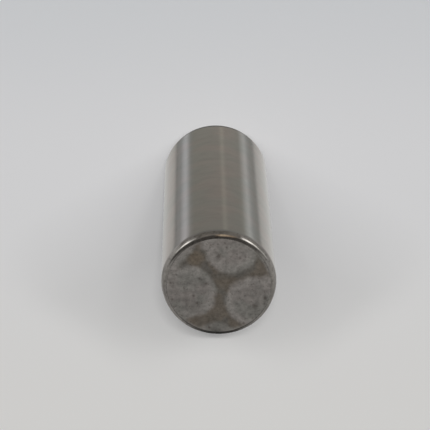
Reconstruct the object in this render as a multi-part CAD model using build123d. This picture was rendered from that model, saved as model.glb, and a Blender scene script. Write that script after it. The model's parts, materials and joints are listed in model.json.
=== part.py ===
from build123d import *

import os
from math import cos, radians, tan

# Crank pin of a small single-cylinder engine: one solid steel cylinder, turned from bar, case
# hardened and ground. Its two ends press into the crank webs, and the needle bearing of the
# connecting rod runs on the middle. Both ends are alike: a shallow lead-in cone that guides the
# pin into its web, then a round edge, then a flat end face.
# Millimetres. The pin stands on its lower end face: the origin is that face's centre, and +Z is
# up along the pin's axis.

pin_diameter = 20.0
pin_length = 50.0

lead_in_angle = 15.0  # degrees between the lead-in cone and the pin's axis
lead_in_length = 1.5  # along the axis, from the barrel to where the cone would cut the end face
edge_radius = 0.75  # round between the lead-in cone and the end face
blend_radius = 2.0  # soft round where the barrel runs into the lead-in cone


def tangent_length(radius, turn):
    """Length that a round takes from each side of a corner that turns by this many degrees."""
    return radius * tan(radians(turn) / 2)


def rounds_on_the_cone():
    """Radii of the round edge and of the blend, made smaller together where the cone is too short."""
    cone_slant = lead_in_length / cos(radians(lead_in_angle))
    taken = tangent_length(edge_radius, 90 - lead_in_angle) + tangent_length(blend_radius, lead_in_angle)
    share = min(1.0, 0.95 * cone_slant / taken)
    return edge_radius * share, blend_radius * share


def make_crank_pin():
    """The pin's half section in the XZ plane, its corners rounded, turned about Z."""
    pin_radius = pin_diameter / 2
    face_radius = pin_radius - lead_in_length * tan(radians(lead_in_angle))
    edge, blend = rounds_on_the_cone()
    outline = FilletPolyline(
        (0, 0),
        (face_radius, 0),
        (pin_radius, lead_in_length),
        (pin_radius, pin_length - lead_in_length),
        (face_radius, pin_length),
        (0, pin_length),
        radius=[edge, blend, blend, edge],
    )
    half_section = make_face(outline + Line(outline @ 1, outline @ 0))
    return revolve(Plane.XZ * half_section, Axis.Z)


crank_pin = make_crank_pin()

os.makedirs("parts", exist_ok=True)
export_step(crank_pin, "parts/crank_pin.step")
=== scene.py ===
import json
from math import cos, pi, radians, sin, tan

import bpy
import numpy as np
from mathutils import Matrix, Vector


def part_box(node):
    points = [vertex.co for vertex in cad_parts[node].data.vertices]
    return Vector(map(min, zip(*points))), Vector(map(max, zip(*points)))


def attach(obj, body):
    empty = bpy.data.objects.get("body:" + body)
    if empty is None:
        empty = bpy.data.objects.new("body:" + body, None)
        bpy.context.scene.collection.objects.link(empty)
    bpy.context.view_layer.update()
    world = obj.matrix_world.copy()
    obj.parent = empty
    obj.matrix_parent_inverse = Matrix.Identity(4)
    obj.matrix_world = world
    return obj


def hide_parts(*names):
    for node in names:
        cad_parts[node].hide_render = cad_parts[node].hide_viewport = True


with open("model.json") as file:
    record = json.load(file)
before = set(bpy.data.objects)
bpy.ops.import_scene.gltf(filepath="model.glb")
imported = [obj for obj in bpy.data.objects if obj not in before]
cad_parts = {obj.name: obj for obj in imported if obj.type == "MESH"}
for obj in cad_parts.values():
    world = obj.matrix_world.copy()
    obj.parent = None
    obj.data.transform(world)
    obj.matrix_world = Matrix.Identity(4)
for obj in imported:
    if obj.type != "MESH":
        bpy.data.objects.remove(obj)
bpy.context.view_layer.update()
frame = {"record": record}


# ---------------------------------------------------------------------------------------------
# The crank pin. One solid piece of case hardened steel: turned from bar, its barrel ground
# round, its two edges polished by tumbling, and its end faces left matte from hardening, with
# pale round marks on them and brown oil stain between the marks.
# ---------------------------------------------------------------------------------------------

barrel_mount = next(mount for mount in frame["record"]["mounts"] if mount["name"] == "barrel")
PIN_RADIUS = barrel_mount["dims"]["r_mm"] / 1000
PIN_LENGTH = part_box("crank_pin")[1].z
LEAD_IN_ANGLE = radians(15)  # between the lead-in cone and the pin's axis
LEAD_IN_LENGTH = 0.0015
EDGE_RADIUS = 0.00075  # the round edge between the cone and the end face
BLEND_RADIUS = 0.002  # the soft round where the barrel runs into the cone
FLAT_RADIUS = (
    PIN_RADIUS
    - LEAD_IN_LENGTH * tan(LEAD_IN_ANGLE)
    - EDGE_RADIUS * tan((pi / 2 - LEAD_IN_ANGLE) / 2)
)

AROUND = 420  # points in each ring round the pin
FACE_RINGS = 72  # rings across an end face, from its centre to the round edge
EDGE_RINGS = 15
BLEND_STEPS = 6
HALF_BARREL_RINGS = 12


def half_profile():
    """
    Radius and height above the pin's middle of the rings from the centre of an end face to the
    middle of the barrel: a flat, an arc whose normal turns from the axis to the lead-in cone's,
    the cone itself, an arc that turns on to the barrel's normal, and the straight barrel.
    """
    half = PIN_LENGTH / 2
    flat = np.linspace(0, FLAT_RADIUS, FACE_RINGS + 1)[1:]
    edge = np.linspace(pi / 2, LEAD_IN_ANGLE, EDGE_RINGS + 1)[1:]
    blend = np.linspace(LEAD_IN_ANGLE, 0, BLEND_STEPS + 1)
    blend_start = half - LEAD_IN_LENGTH - BLEND_RADIUS * tan(LEAD_IN_ANGLE / 2)
    barrel = np.linspace(blend_start, 0, HALF_BARREL_RINGS + 1)[1:]
    radius = np.concatenate([
        flat,
        FLAT_RADIUS + EDGE_RADIUS * np.cos(edge),
        PIN_RADIUS - BLEND_RADIUS + BLEND_RADIUS * np.cos(blend),
        np.full(barrel.shape, PIN_RADIUS),
    ])
    height = np.concatenate([
        np.full(flat.shape, half),
        half - EDGE_RADIUS + EDGE_RADIUS * np.sin(edge),
        blend_start + BLEND_RADIUS * np.sin(blend),
        barrel,
    ])
    return radius, height


# What an end face carries, in millimetres from its centre. All of it is worn or stained in.
# Pale round marks: x, y, radius, and how pale.
MARKS = [
    (-2.1, -6.75, 4.45, 1.00),
    (5.45, 1.25, 5.1, 0.89),
    (-5.8, 3.1, 4.8, 0.89),
    (0.7, 12.0, 4.75, 0.73),
    (8.15, -8.35, 4.0, 0.91),
    (8.7, -4.0, 2.0, 0.81),
    (0.6, -8.6, 2.8, 1.00),
    (-8.6, 0.35, 2.4, 0.95),
]
# Dark smudges: x, y, radius, and how dark.
SMUDGES = [
    (4.2, 3.8, 1.7, 0.70),
    (7.0, 4.8, 1.5, 0.30),
    (-6.2, 5.4, 1.3, 0.35),
    (-5.4, 1.6, 1.9, 0.20),
    (2.6, -1.2, 1.1, 0.45),
    (0.1, -5.8, 0.9, 0.85),
    (5.3, -0.8, 0.6, 0.70),
    (2.9, -1.1, 0.7, 0.80),
    (3.6, 3.4, 0.8, 0.70),
    (-6.3, 4.2, 0.9, 0.70),
    (-8.1, 2.5, 0.5, 0.60),
    (0.5, 8.8, 2.1, 1.40),
    (3.2, 8.1, 0.9, 0.80),
    (-3.4, -2.1, 0.9, 0.60),
    (3.1, 7.3, 1.0, 0.60),
]
# Rusty stains between the marks: x, y, radius, and how strong.
RUST = [
    (4.1, -5.4, 1.5, 1.00),
    (4.6, 6.8, 1.1, 0.25),
    (-0.7, -0.6, 1.5, 0.40),
    (-7.1, -4.1, 1.0, 0.40),
]
# Small dents: x, y, radius, and depth.
DENTS = [
    (0.0, -5.6, 0.34, 0.05),
    (4.4, 2.0, 0.22, 0.06),
    (3.8, 3.4, 0.22, 0.06),
    (-8.0, 2.5, 0.28, 0.07),
    (6.0, 0.5, 0.18, 0.05),
    (8.1, 2.6, 0.20, 0.05),
    (2.2, -0.4, 0.24, 0.04),
    (3.4, -1.4, 0.20, 0.04),
    (-6.2, 4.0, 0.36, 0.03),
    (8.4, -0.6, 0.22, 0.05),
    (7.8, 4.1, 0.24, 0.05),
    (6.5, 5.8, 0.20, 0.05),
    (-4.3, 7.4, 0.20, 0.04),
    (1.7, 8.2, 0.22, 0.05),
    (1.4, -7.8, 0.20, 0.03),
    (-1.0, -8.2, 0.18, 0.03),
    (-1.3, -7.3, 0.18, 0.03),
    (-3.6, -5.2, 0.20, 0.03),
]

# Places across a mark's edge, in millimetres outside its circle.
MARK_FULL, MARK_GONE = -0.50, 0.45
RING_AT, RING_WIDTH = -1.10, 0.55
OUTLINE_AT, OUTLINE_WIDTH = 0.35, 0.45
OWN_PALENESS, FULL_PALENESS = -1.9, -0.6
# The pale rim of an end face: the radii where its paleness starts and is full, and how pale it is.
PALE_RIM_FROM, PALE_RIM_TO, PALE_RIM_SHARE = 8.50, 8.85, 0.75
# How far the stain between the marks lies under them, and how deep the face's unevenness is.
STAIN_DEPTH, UNEVEN_DEPTH = 0.012, 0.006
# The length of a ripple's waves and its strength: two that a mark's edge wanders with, and one
# that makes the smudges ragged. The face's unevenness has a length only.
WANDER = [(3.0, 0.22), (0.9, 0.10)]
RAGGED = (1.8, 0.4)
UNEVEN_WAVE = 1.3
FACE_FIELDS = ("mark", "pale", "ring", "outline", "smudge", "rust", "dent")
FACE_SEED = 11


def smooth_step(low, high, value):
    """0 below low, 1 above high, and 3t^2 - 2t^3 between them."""
    t = np.clip((value - low) / (high - low), 0, 1)
    return t * t * (3 - 2 * t)


def ripple(x, y, wave, seed):
    """
    Unevenness between about -1 and 1: a quarter of the sum of nine sine waves, each in a seeded
    direction and 0.7 to 1.6 times the wave's length.
    """
    chance = np.random.default_rng(seed)
    total = np.zeros_like(x)
    for _ in range(9):
        angle, phase = chance.uniform(0, 2 * pi, 2)
        number = 2 * pi / (wave * chance.uniform(0.7, 1.6))
        total += np.sin(number * (x * cos(angle) + y * sin(angle)) + phase)
    return total / 4


def apart(x, y, spot_x, spot_y, spot_radius):
    """The square of the distance from a spot's centre over the square of its radius."""
    return ((x - spot_x) ** 2 + (y - spot_y) ** 2) / spot_radius**2


def end_face_fields(x, y, seed):
    """
    What an end face shows at x, y in millimetres. A mark is 1 inside its circle, whose edge
    wanders with a ripple, and pale says how pale the nearest one is. Its ring is a band just
    inside that edge and its outline a band just outside. The rim of the face is almost as pale
    as a mark. Dents, smudges and rust are bell curves. Depth is how far the surface lies under
    the flat.
    """
    (long_wave, long_share), (short_wave, short_share) = WANDER
    wander = long_share * ripple(x, y, long_wave, seed)
    wander = wander + short_share * ripple(x, y, short_wave, seed + 1)
    outside = np.full(x.shape, 100.0)
    pale = np.ones(x.shape)
    for mark_x, mark_y, mark_radius, mark_pale in MARKS:
        past_edge = np.hypot(x - mark_x, y - mark_y) - mark_radius + wander
        pale = np.where(past_edge < outside, mark_pale, pale)
        outside = np.minimum(outside, past_edge)
    mark = 1 - smooth_step(MARK_FULL, MARK_GONE, outside)
    # The rim of the face is made nearly as pale as a mark.
    pale_rim = smooth_step(PALE_RIM_FROM, PALE_RIM_TO, np.hypot(x, y))
    mark = np.maximum(mark, PALE_RIM_SHARE * pale_rim)
    pale = 1 - (1 - pale) * (1 - smooth_step(OWN_PALENESS, FULL_PALENESS, outside))
    ring = np.exp(-(((outside - RING_AT) / RING_WIDTH) ** 2))
    outline = np.exp(-(((outside - OUTLINE_AT) / OUTLINE_WIDTH) ** 2))

    smudge = np.zeros(x.shape)
    ragged_wave, ragged_share = RAGGED
    ragged = 1 + ragged_share * ripple(x, y, ragged_wave, seed + 3)
    for *spot, dark in SMUDGES:
        smudge = np.maximum(smudge, dark * np.exp(-apart(x, y, *spot) * ragged))
    rust = np.zeros(x.shape)
    for *spot, strong in RUST:
        rust = np.maximum(rust, strong * np.exp(-(apart(x, y, *spot) ** 2)) * (1 - mark))
    dent = np.zeros(x.shape)
    uneven = np.maximum(0, 1 + ripple(x, y, UNEVEN_WAVE, seed + 2))
    depth = STAIN_DEPTH * (1 - mark) + UNEVEN_DEPTH * uneven
    for *spot, dent_depth in DENTS:
        bell = np.exp(-apart(x, y, *spot))
        dent = np.maximum(dent, bell)
        depth = depth + dent_depth * bell
    return {
        "mark": mark, "pale": pale, "ring": ring, "outline": outline,
        "smudge": smudge, "rust": rust, "dent": dent, "depth": depth,
    }


LOWER_FACE_TURN = 2.2  # radians that the lower face's marks are turned from the upper face's
RELIEF_FADE = 0.0006  # width of the band at the rim where an end face's relief fades out
SAME_LEVEL = 1e-9  # how near to a height or a radius counts as on it
BARREL_SLOT, EDGE_SLOT, FACE_SLOT = 0, 1, 2


def make_pin_mesh():
    """
    The half profile mirrored about the pin's middle and turned about Z, a point for each ring
    and each angle, closed by one point at the centre of each end face. The end faces sink by
    the depth field, which fades out towards the round edge.
    """
    radius, height = half_profile()
    radius = np.concatenate([radius, radius[-2::-1]])
    height = np.concatenate([height, -height[-2::-1]]) + PIN_LENGTH / 2
    angle = np.arange(AROUND) * 2 * pi / AROUND
    grid = np.stack([
        radius[:, None] * np.cos(angle),
        radius[:, None] * np.sin(angle),
        np.broadcast_to(height[:, None], (len(radius), AROUND)),
    ], axis=2)
    points = np.concatenate([grid.reshape(-1, 3), [[0, 0, PIN_LENGTH], [0, 0, 0]]])

    fields = {name: np.zeros(len(points)) for name in FACE_FIELDS}
    reach = np.hypot(points[:, 0], points[:, 1])
    for inward, level, turn in ((-1, PIN_LENGTH, 0.0), (1, 0.0, LOWER_FACE_TURN)):
        face = (np.abs(points[:, 2] - level) < SAME_LEVEL) & (reach <= FLAT_RADIUS + SAME_LEVEL)
        x = (points[face, 0] * cos(turn) - points[face, 1] * sin(turn)) * 1000
        y = (points[face, 0] * sin(turn) + points[face, 1] * cos(turn)) * 1000
        shown = end_face_fields(x, y, FACE_SEED)
        fade = 1 - smooth_step(FLAT_RADIUS - RELIEF_FADE, FLAT_RADIUS, reach[face])
        points[face, 2] += inward * shown["depth"] * fade / 1000
        for name in fields:
            fields[name][face] = shown[name]

    ring_start = np.arange(len(radius) - 1)[:, None] * AROUND
    here = np.arange(AROUND)[None, :]
    after = (here + 1) % AROUND
    quads = np.stack([
        ring_start + here,
        ring_start + AROUND + here,
        ring_start + AROUND + after,
        ring_start + after,
    ], axis=2).reshape(-1, 4)
    top, bottom = len(points) - 2, len(points) - 1
    last = (len(radius) - 1) * AROUND
    top_fan = np.stack([np.full(AROUND, top), here[0], after[0]], axis=1)
    bottom_fan = np.stack([np.full(AROUND, bottom), last + after[0], last + here[0]], axis=1)

    mesh = bpy.data.meshes.new("crank_pin_steel")
    mesh.from_pydata(points.tolist(), [], quads.tolist() + top_fan.tolist() + bottom_fan.tolist())
    for name, value in fields.items():
        attribute = mesh.attributes.new(name, "FLOAT", "POINT")
        attribute.data.foreach_set("value", value.astype(np.float32))
    mesh.polygons.foreach_set("use_smooth", np.ones(len(mesh.polygons), bool))

    # From the centre outwards: the flat, then the round edge with the cone, then the barrel.
    slot = np.full(len(radius) - 1, BARREL_SLOT)
    flat_bands = FACE_RINGS - 1
    slot[:flat_bands] = FACE_SLOT
    slot[flat_bands : flat_bands + EDGE_RINGS + 1] = EDGE_SLOT
    slot = np.maximum(slot, slot[::-1])
    slots = np.concatenate([np.repeat(slot, AROUND), np.full(2 * AROUND, FACE_SLOT)])
    mesh.polygons.foreach_set("material_index", slots.astype(np.int32))
    mesh.update()
    mesh.validate()
    return mesh


def add_node(tree, kind, inputs=None, **settings):
    """A shader node with these settings. Each input, by name or number, takes a value or a link."""
    made = tree.nodes.new(kind)
    for name, value in settings.items():
        setattr(made, name, value)
    for key, value in (inputs or {}).items():
        if isinstance(value, bpy.types.NodeSocket):
            tree.links.new(value, made.inputs[key])
        else:
            made.inputs[key].default_value = value
    return made


def combine(tree, operation, first, second=0.0, third=0.0):
    """One step of arithmetic on numbers."""
    inputs = {0: first, 1: second, 2: third}
    return add_node(tree, "ShaderNodeMath", inputs, operation=operation).outputs[0]


def between(tree, value, low, high, at_low=0.0, at_high=1.0):
    """A number that runs smoothly from at_low to at_high as value goes from low to high."""
    inputs = {"Value": value, "From Min": low, "From Max": high, "To Min": at_low, "To Max": at_high}
    return add_node(tree, "ShaderNodeMapRange", inputs, interpolation_type="SMOOTHSTEP").outputs["Result"]


def blend_colours(tree, share, first, second):
    """first where share is 0 and second where it is 1: a Mix node's colours are inputs 6 and 7."""
    inputs = {0: share, 6: first, 7: second}
    return add_node(tree, "ShaderNodeMix", inputs, data_type="RGBA").outputs[2]


def shade_colour(tree, colour, factor):
    """The colour made darker or lighter by the factor."""
    inputs = {0: colour, "Scale": factor}
    return add_node(tree, "ShaderNodeVectorMath", inputs, operation="SCALE").outputs[0]


def speckle(tree, place, scale, detail=2.0, rough=0.5):
    """Noise about 1/scale metres apart."""
    inputs = {"Vector": place, "Scale": scale, "Detail": detail, "Roughness": rough}
    return add_node(tree, "ShaderNodeTexNoise", inputs).outputs["Fac"]


def object_place(tree):
    """Object coordinates, in metres."""
    return add_node(tree, "ShaderNodeTexCoord").outputs["Object"]


def streaks(tree, squeeze, detail=2.0, rough=0.5):
    """Noise on Object coordinates squeezed by a vector, so that it runs out in lines round Z."""
    inputs = {0: object_place(tree), 1: squeeze}
    place = add_node(tree, "ShaderNodeVectorMath", inputs, operation="MULTIPLY").outputs[0]
    return speckle(tree, place, 1.0, detail, rough)


NOISE = (0.3, 0.7)  # most of a noise lies between these
MOTTLE_SCALE = 1300.0
SPECK_SOFTNESS = 0.13


def make_mottle():
    """
    The node group for fine mottle and specks: the colour is blended with the speck colour where
    one noise passes the speck start, by up to the speck share, and then shaded from the darkest
    to the lightest by another noise, which also comes out as it is.
    """
    group = bpy.data.node_groups.new("mottle_and_specks", "ShaderNodeTree")
    sockets = [
        ("Place", "INPUT", "Vector"),
        ("Colour", "INPUT", "Color"),
        ("Darkest", "INPUT", "Float"),
        ("Lightest", "INPUT", "Float"),
        ("Speck Scale", "INPUT", "Float"),
        ("Speck Start", "INPUT", "Float"),
        ("Speck Share", "INPUT", "Float"),
        ("Speck Colour", "INPUT", "Color"),
        ("Colour", "OUTPUT", "Color"),
        ("Mottle", "OUTPUT", "Float"),
    ]
    for name, side, kind in sockets:
        group.interface.new_socket(name, in_out=side, socket_type="NodeSocket" + kind)
    given = add_node(group, "NodeGroupInput").outputs
    mottle = speckle(group, given["Place"], MOTTLE_SCALE, detail=4.0, rough=0.65)
    speck_noise = speckle(group, given["Place"], given["Speck Scale"], detail=1.0)
    speck_end = combine(group, "ADD", given["Speck Start"], SPECK_SOFTNESS)
    specks = between(group, speck_noise, given["Speck Start"], speck_end, 0.0, given["Speck Share"])
    colour = blend_colours(group, specks, given["Colour"], given["Speck Colour"])
    shade = between(group, mottle, *NOISE, given["Darkest"], given["Lightest"])
    colour = shade_colour(group, colour, shade)
    add_node(group, "NodeGroupOutput", {"Colour": colour, "Mottle": mottle})
    return group


mottle_group = make_mottle()


def new_steel(name):
    """A material of bare metal, its tree and its Principled shader's inputs."""
    material = bpy.data.materials.new(name)
    material.use_nodes = True
    tree = material.node_tree
    surface = tree.nodes["Principled BSDF"].inputs
    surface["Metallic"].default_value = 1.0
    return material, tree, surface


def ground_steel():
    """
    Bright steel: fine grinding lines round the barrel, a faint warm and cool cloudiness, soft
    wiped streaks and a few small pale marks.
    """
    warm = (0.603, 0.570, 0.563, 1)
    cool = (0.566, 0.566, 0.559, 1)
    mark_colour = (0.70, 0.67, 0.65, 1)

    material, tree, surface = new_steel("ground_steel")
    lines = streaks(tree, (60, 60, 9000), detail=3.0, rough=0.7)
    polish = streaks(tree, (90, 90, 700))
    cloud = streaks(tree, (130, 130, 210), detail=1.0)
    wiped = streaks(tree, (330, 330, 620))
    marks = between(tree, streaks(tree, (650, 650, 900), detail=0.0), 0.80, 0.86, 0.0, 0.35)
    colour = blend_colours(tree, between(tree, cloud, 0.38, 0.62), warm, cool)
    colour = blend_colours(tree, marks, colour, mark_colour)
    line_shade = between(tree, lines, *NOISE, 0.94, 1.0)
    wiped_shade = between(tree, wiped, 0.32, 0.62, 0.965, 1.01)
    colour = shade_colour(tree, colour, combine(tree, "MULTIPLY", line_shade, wiped_shade))
    tree.links.new(colour, surface["Base Color"])
    tree.links.new(between(tree, polish, *NOISE, 0.09, 0.14), surface["Roughness"])
    bump = add_node(tree, "ShaderNodeBump", {"Strength": 0.08, "Distance": 0.00002, "Height": lines})
    tree.links.new(bump.outputs["Normal"], surface["Normal"])
    return material


def polished_edge():
    """The same steel, grinding lines tumbled away, oil stained in spots, darker as painted shade."""
    # Both colours are darker than the barrel's steel: painted shade, for the dark things the edge mirrors.
    darker = (0.405, 0.385, 0.37, 1)
    lighter = (0.45, 0.43, 0.405, 1)
    oil = (0.20, 0.185, 0.17, 1)

    material, tree, surface = new_steel("polished_edge")
    place = object_place(tree)
    cloud = speckle(tree, place, 420.0, detail=3.0)
    colour = blend_colours(tree, between(tree, cloud, *NOISE), darker, lighter)
    stain = add_node(tree, "ShaderNodeGroup", {
        "Place": place, "Colour": colour, "Darkest": 0.86, "Lightest": 1.14,
        "Speck Scale": 1700.0, "Speck Start": 0.56, "Speck Share": 0.45, "Speck Colour": oil,
    }, node_tree=mottle_group).outputs
    tree.links.new(stain["Colour"], surface["Base Color"])
    tree.links.new(between(tree, stain["Mottle"], 0.35, 0.7, 0.08, 0.15), surface["Roughness"])
    return material


def matte_face():
    """
    Dull scale on an end face: grey and finely mottled inside the marks, brown to olive between
    them, darker along their outlines, in the smudges and in the dents, and peppered with small
    dark specks.
    """
    warm_grey = (0.275, 0.252, 0.234, 1)
    cool_grey = (0.258, 0.248, 0.227, 1)
    brown = (0.164, 0.141, 0.116, 1)
    olive = (0.147, 0.137, 0.122, 1)
    layers = [
        ("ring", 0.50, (0.325, 0.305, 0.284, 1)),
        ("outline", 0.25, (0.10, 0.086, 0.070, 1)),
        ("rust", 0.8, (0.190, 0.152, 0.112, 1)),
        ("smudge", 0.45, (0.099, 0.097, 0.086, 1)),
    ]
    speck_colour = (0.09, 0.08, 0.07, 1)
    dent_share = 0.65
    dent_colour = (0.078, 0.064, 0.053, 1)

    material, tree, surface = new_steel("matte_face")
    place = object_place(tree)

    def field(name):
        return add_node(tree, "ShaderNodeAttribute", attribute_name=name).outputs["Fac"]

    drift = speckle(tree, place, 260.0)
    hue = speckle(tree, place, 330.0, detail=1.0)
    in_marks = blend_colours(tree, between(tree, hue, 0.36, 0.64), warm_grey, cool_grey)
    between_marks = blend_colours(tree, between(tree, hue, 0.4, 0.6), brown, olive)
    colour = blend_colours(tree, field("mark"), between_marks, in_marks)
    for name, share, layer_colour in layers:
        colour = blend_colours(tree, combine(tree, "MULTIPLY", field(name), share), colour, layer_colour)
    stain = add_node(tree, "ShaderNodeGroup", {
        "Place": place, "Colour": colour, "Darkest": 0.80, "Lightest": 1.20,
        "Speck Scale": 2100.0, "Speck Start": 0.60, "Speck Share": 0.5, "Speck Colour": speck_colour,
    }, node_tree=mottle_group).outputs
    dents = combine(tree, "MULTIPLY", field("dent"), dent_share)
    colour = blend_colours(tree, dents, stain["Colour"], dent_colour)
    uneven = combine(tree, "MULTIPLY", between(tree, drift, *NOISE, 0.94, 1.06), field("pale"))
    tree.links.new(shade_colour(tree, colour, uneven), surface["Base Color"])
    surface["Metallic"].default_value = 0.35
    tree.links.new(between(tree, field("mark"), 0.0, 1.0, 0.50, 0.62), surface["Roughness"])
    grain = {"Strength": 0.35, "Distance": 0.00004, "Height": stain["Mottle"]}
    bump = add_node(tree, "ShaderNodeBump", grain)
    tree.links.new(bump.outputs["Normal"], surface["Normal"])
    return material


pin = bpy.data.objects.new("crank_pin_steel", make_pin_mesh())
bpy.context.scene.collection.objects.link(pin)
for steel in (ground_steel(), polished_edge(), matte_face()):
    pin.data.materials.append(steel)
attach(pin, "root")
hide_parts("crank_pin")


# ---------------------------------------------------------------------------------------------
# The floor: a sheet of pale matte paper that the pin stands on. Mirror rays pass through it and
# meet the studio's walls, so the barrel shows them as upright bands at any height of the eye.
# ---------------------------------------------------------------------------------------------

FLOOR_HALF = 3.0  # metres from the pin to each side of the floor


def pale_paper_painted_falloff():
    """Matte paper with painted shade: a little darker and cooler in front of the pin, warmer behind."""
    front = (0.70, 0.715, 0.735, 1)
    middle = (0.788, 0.788, 0.798, 1)
    back = (0.795, 0.788, 0.772, 1)
    front_to_middle = (-0.046, 0.0)  # metres along Y, as is the next
    middle_to_back = (-0.005, 0.06)

    material = bpy.data.materials.new("pale_paper_painted_falloff")
    material.use_nodes = True
    tree = material.node_tree
    surface = tree.nodes["Principled BSDF"].inputs
    y = add_node(tree, "ShaderNodeSeparateXYZ", {"Vector": object_place(tree)}).outputs["Y"]
    # Painted shade: the paper darkens and cools towards the front, as light falling off across the floor
    # would.
    paper = blend_colours(tree, between(tree, y, *front_to_middle), front, middle)
    paper = blend_colours(tree, between(tree, y, *middle_to_back), paper, back)
    tree.links.new(paper, surface["Base Color"])
    surface["Roughness"].default_value = 0.9
    surface["Specular IOR Level"].default_value = 0.0
    return material


floor_mesh = bpy.data.meshes.new("floor")
floor_corners = [(x * FLOOR_HALF, y * FLOOR_HALF, 0) for x, y in ((-1, -1), (1, -1), (1, 1), (-1, 1))]
floor_mesh.from_pydata(floor_corners, [], [(0, 1, 2, 3)])
floor_mesh.materials.append(pale_paper_painted_falloff())
floor = bpy.data.objects.new("floor", floor_mesh)
bpy.context.scene.collection.objects.link(floor)
floor.visible_glossy = False


# ---------------------------------------------------------------------------------------------
# The studio: walls that mirror rays meet as upright bands, dark in front, then bright, grey and
# pale towards the back, under a dark ceiling; an even pale light for everything matte; and four
# soft lamps, a narrow and a broad one high in front, and one at each side.
# ---------------------------------------------------------------------------------------------

# The walls' colours by the angle in degrees from straight in front, -Y, towards +X. The low wall
# is what the barrel shows to an eye high above it; the high wall is at eye level.
LOW_WALL = [
    (-180, (0.52, 0.52, 0.51)),
    (-170, (0.57, 0.57, 0.56)),
    (-160, (0.62, 0.625, 0.615)),
    (-150, (0.60, 0.60, 0.585)),
    (-125, (0.55, 0.54, 0.515)),
    (-108, (0.50, 0.485, 0.46)),
    (-100, (0.44, 0.43, 0.405)),
    (-95.5, (0.28, 0.275, 0.26)),
    (-90, (0.27, 0.265, 0.245)),
    (-79, (0.32, 0.32, 0.305)),
    (-69, (0.50, 0.50, 0.48)),
    (-64, (0.44, 0.44, 0.415)),
    (-54, (0.285, 0.275, 0.245)),
    (-22, (0.295, 0.275, 0.245)),
    (-15, (0.36, 0.34, 0.295)),
    (-8, (0.285, 0.265, 0.235)),
    (50, (0.265, 0.255, 0.225)),
    (59, (0.28, 0.275, 0.255)),
    (70, (0.53, 0.53, 0.53)),
    (77, (0.47, 0.47, 0.47)),
    (85, (0.295, 0.295, 0.285)),
    (93, (0.30, 0.295, 0.285)),
    (96.5, (0.21, 0.21, 0.20)),
    (102, (0.36, 0.345, 0.325)),
    (107, (0.46, 0.445, 0.415)),
    (125, (0.515, 0.50, 0.475)),
    (150, (0.555, 0.555, 0.54)),
    (160, (0.58, 0.58, 0.57)),
    (170, (0.56, 0.56, 0.55)),
    (180, (0.52, 0.52, 0.51)),
]
HIGH_WALL = [
    (-180, (0.05, 0.05, 0.048)),
    (-171, (0.075, 0.073, 0.07)),
    (-165, (0.21, 0.207, 0.20)),
    (-156, (0.37, 0.365, 0.355)),
    (-144, (0.31, 0.305, 0.295)),
    (-119, (0.37, 0.365, 0.35)),
    (-103, (0.46, 0.455, 0.435)),
    (-85, (0.33, 0.325, 0.315)),
    (-32, (0.25, 0.24, 0.22)),
    (32, (0.20, 0.19, 0.175)),
    (84, (0.30, 0.295, 0.285)),
    (103, (0.42, 0.415, 0.40)),
    (119, (0.29, 0.285, 0.275)),
    (132, (0.37, 0.365, 0.355)),
    (144, (0.34, 0.335, 0.325)),
    (156, (0.40, 0.395, 0.385)),
    (164, (0.22, 0.217, 0.21)),
    (171, (0.09, 0.088, 0.085)),
    (180, (0.05, 0.05, 0.048)),
]
# Places that lie over the walls: from and to an angle, how soft those two sides are, from and
# to a height, and the colour.
WALL_PLACES = [
    (-78, -44, 12, 24, 64, (0.13, 0.125, 0.12, 1)),
    (38, 92, 12, 20, 60, (0.10, 0.097, 0.09, 1)),
    (66, 98, 12, -46, 2, (0.50, 0.495, 0.48, 1)),
    (-30, 24, 12, -22, 3, (0.30, 0.275, 0.245, 1)),
    (-26, 3, 12, 3, 46, (0.44, 0.355, 0.27, 1)),
    (-12, -4, 12, 0, 50, (0.88, 0.71, 0.53, 1)),
    (-84, -70, 12, -28, 2, (0.70, 0.70, 0.685, 1)),
    (-65, -48, 12, -30, 8, (1.28, 1.27, 1.23, 1)),
    (-52, -37, 8, -30, 12, (2.2, 2.18, 2.12, 1)),
    (38, 70, 12, -30, 6, (1.10, 1.10, 1.07, 1)),
    (46.5, 58, 8, -30, 5, (2.2, 2.18, 2.12, 1)),
]
PLACE_END_SOFTNESS = 16  # how soft the lower and upper ends of each place are

# Where one part of the walls fades into the next, in degrees of height, negative under the
# horizon.
DARK_TO_LOW_WALL = (-76, -71)
LOW_TO_HIGH_WALL = (-61, -56)
# The low wall is lighter by a share under the first of these heights, and darker by it over the
# second. That is so in front of the pin and behind it, and not at the sides: each span is from
# and to an angle, and how soft its ends are.
LOW_WALL_SHADE = (-68.5, -64)
LOW_WALL_SHARE = 0.11
FRONT_SPAN = (-50, 55, 12)
FRONT_AND_SIDES_SPAN = (-150, 150, 14)
UNDER_DARK = (0.15, 0.147, 0.14, 1)  # straight under the pin, below the low wall
OVERHEAD = (0, -0.4226, 0.9063)  # the middle of the dark ceiling: high in front of the pin
OVERHEAD_REACH = (30, 50)  # degrees from there to where the ceiling starts and stops fading
OVERHEAD_DARK = (0.085, 0.08, 0.073, 1)
EVEN_LIGHT = 0.045  # what reaches matte surfaces from all round
BACKDROP = (0.62, 0.62, 0.63, 1)  # what the camera sees past the floor


def wall_colour(tree, angle, stops):
    """The colour at this angle, run straight from one stop to the next."""
    made = add_node(tree, "ShaderNodeValToRGB", {"Fac": combine(tree, "MULTIPLY_ADD", angle, 1 / 360, 0.5)})
    elements = made.color_ramp.elements
    while len(elements) < len(stops):
        elements.new(0.5)
    for element, (degrees, colour) in zip(elements, stops):
        element.position = degrees / 360 + 0.5
        element.color = (*colour, 1)
    return made.outputs["Color"]


def window(tree, value, low, high, soft):
    """1 from low to high and 0 outside, with soft edges."""
    rise = between(tree, value, low - soft / 2, low + soft / 2)
    fall = between(tree, value, high - soft / 2, high + soft / 2)
    return combine(tree, "SUBTRACT", rise, fall)


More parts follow.
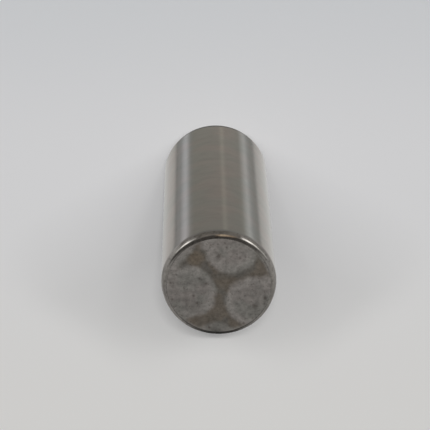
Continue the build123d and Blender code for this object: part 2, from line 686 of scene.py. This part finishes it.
def make_studio():
    """The world: walls for mirror rays, a pale backdrop for the camera, even light for the rest."""
    world = bpy.data.worlds.new("studio")
    bpy.context.scene.world = world
    world.use_nodes = True
    tree = world.node_tree
    direction = add_node(tree, "ShaderNodeTexCoord").outputs["Generated"]
    parts = add_node(tree, "ShaderNodeSeparateXYZ", {"Vector": direction}).outputs
    forward = combine(tree, "MULTIPLY", parts["Y"], -1.0)
    angle = combine(tree, "DEGREES", combine(tree, "ARCTAN2", parts["X"], forward))
    height = combine(tree, "DEGREES", combine(tree, "ARCSINE", parts["Z"]))

    front_and_sides = window(tree, angle, *FRONT_AND_SIDES_SPAN)
    sides = combine(tree, "SUBTRACT", front_and_sides, window(tree, angle, *FRONT_SPAN))
    not_sides = combine(tree, "SUBTRACT", 1.0, sides)
    lighter = between(tree, height, *LOW_WALL_SHADE, LOW_WALL_SHARE, -LOW_WALL_SHARE)
    low_wall = wall_colour(tree, angle, LOW_WALL)
    low_wall = shade_colour(tree, low_wall, combine(tree, "MULTIPLY_ADD", lighter, not_sides, 1.0))
    high_wall = wall_colour(tree, angle, HIGH_WALL)
    walls = blend_colours(tree, between(tree, height, *LOW_TO_HIGH_WALL), low_wall, high_wall)
    walls = blend_colours(tree, between(tree, height, *DARK_TO_LOW_WALL), UNDER_DARK, walls)

    overhead = add_node(
        tree, "ShaderNodeVectorMath", {0: direction, 1: OVERHEAD}, operation="DOT_PRODUCT"
    ).outputs["Value"]
    away = combine(tree, "DEGREES", combine(tree, "ARCCOSINE", overhead))
    walls = blend_colours(tree, between(tree, away, *OVERHEAD_REACH), OVERHEAD_DARK, walls)
    for left, right, soft, low, high, colour in WALL_PLACES:
        across = window(tree, angle, left, right, soft)
        upright = window(tree, height, low, high, PLACE_END_SOFTNESS)
        walls = blend_colours(tree, combine(tree, "MULTIPLY", across, upright), walls, colour)

    path = add_node(tree, "ShaderNodeLightPath").outputs
    even = blend_colours(tree, path["Is Glossy Ray"], (EVEN_LIGHT, EVEN_LIGHT, EVEN_LIGHT, 1), walls)
    seen = blend_colours(tree, path["Is Camera Ray"], even, BACKDROP)
    tree.links.new(seen, tree.nodes["Background"].inputs["Color"])


LAMP_DISTANCE = 30.0


def soft_lamp(name, degrees_round, degrees_up, wide, high, floor_light):
    """
    A rectangular lamp that faces the pin, degrees_round from straight in front towards +X. It is
    wide by high degrees across, and floor_light is how bright it makes a white floor: its power
    is that times the squares of pi and of its distance, over the sine of degrees_up. Mirror rays
    miss it, because the walls hold what they meet.
    """
    lamp = bpy.data.lights.new(name, "AREA")
    lamp.shape = "RECTANGLE"
    lamp.size = 2 * LAMP_DISTANCE * tan(radians(wide / 2))
    lamp.size_y = 2 * LAMP_DISTANCE * tan(radians(high / 2))
    across, up = radians(degrees_round), radians(degrees_up)
    lamp.energy = floor_light * pi * pi * LAMP_DISTANCE**2 / sin(up)
    direction = Vector((sin(across) * cos(up), -cos(across) * cos(up), sin(up)))
    facing = direction.to_track_quat("Z", "Y").to_matrix().to_4x4()
    made = bpy.data.objects.new(name, lamp)
    made.matrix_world = Matrix.Translation(direction * LAMP_DISTANCE) @ facing
    made.visible_glossy = False
    bpy.context.scene.collection.objects.link(made)


make_studio()
soft_lamp("front_lamp", 0, 60.35, 6, 0.6, 0.275)
soft_lamp("front_fill", -1, 58.2, 26, 4, 0.18)
soft_lamp("left_lamp", 40, 54, 26, 5, 0.135)
soft_lamp("right_lamp", -38, 54, 26, 5, 0.15)


# ---------------------------------------------------------------------------------------------
# The camera: above the pin's front, 25 degrees off its axis, turned half round about its own
# line of sight so that the upper end face lies low in the picture and the barrel runs upwards.
# ---------------------------------------------------------------------------------------------

VIEW_TILT = radians(24.98)
VIEW_SWING = radians(0.71)
# Where the camera sees the middle of the upper end face, in its own axes and in pin diameters.
FACE_IN_VIEW = Vector((0.0343, -0.6106, -15.395))
LENS = 149.25  # millimetres, as is the sensor
SENSOR_WIDTH = 36.0

camera = bpy.data.objects.new("camera", bpy.data.cameras.new("camera"))
camera.data.lens = LENS
camera.data.sensor_width = SENSOR_WIDTH
camera.data.clip_start = 0.01
turned = (
    Matrix.Rotation(VIEW_SWING, 3, "Y")
    @ Matrix.Rotation(VIEW_TILT, 3, "X")
    @ Matrix.Rotation(pi, 3, "Z")
)
face_middle = Vector((0, 0, PIN_LENGTH))
stand = face_middle - turned @ (FACE_IN_VIEW * 2 * PIN_RADIUS)
camera.matrix_world = Matrix.Translation(stand) @ turned.to_4x4()
bpy.context.scene.collection.objects.link(camera)
bpy.context.scene.camera = camera
bpy.context.scene.view_settings.view_transform = "Standard"
